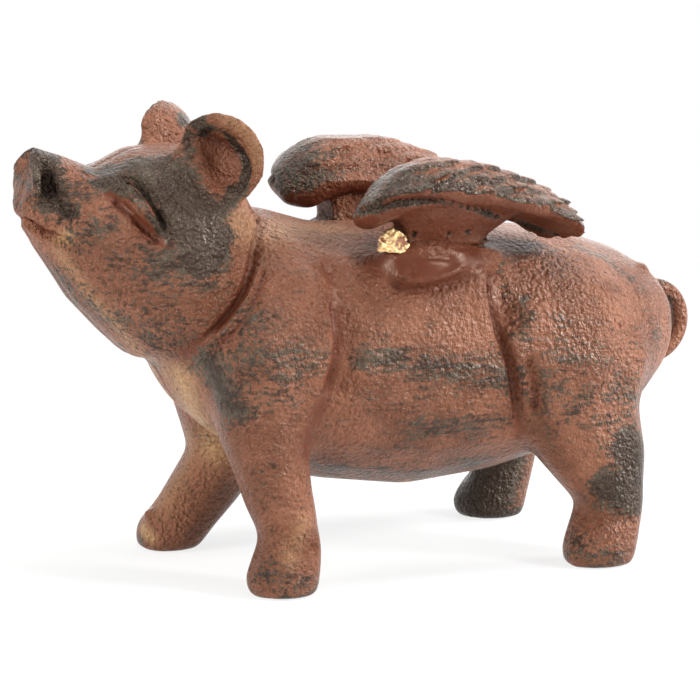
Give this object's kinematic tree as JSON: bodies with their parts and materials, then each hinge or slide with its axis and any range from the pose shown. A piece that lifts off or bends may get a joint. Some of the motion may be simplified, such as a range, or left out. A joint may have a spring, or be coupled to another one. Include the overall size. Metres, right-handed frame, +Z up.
{
  "type": "pig figurine",
  "caption": "Small cast iron pig with two stub wings on its back, painted reddish brown with a dark green patina.",
  "frame": {"origin": "on the ground under the middle of the figurine's bounding box", "axes": "+Z up, the snout points to -X and the tail to +X, the pig's left side is -Y"},
  "size_m": [0.13, 0.0536, 0.0808],
  "materials": {
    "painted_iron": "satin paint over sand-cast iron",
    "braze": "rough",
    "screw_steel": "dull"
  },
  "bodies": {
    "root": {"body_left_half": "painted_iron", "body_right_half": "painted_iron", "left_wing": "painted_iron", "right_wing": "painted_iron", "left_wing_braze": "braze", "right_wing_braze": "braze", "body_screw": "screw_steel"}
  },
  "joints": []
}
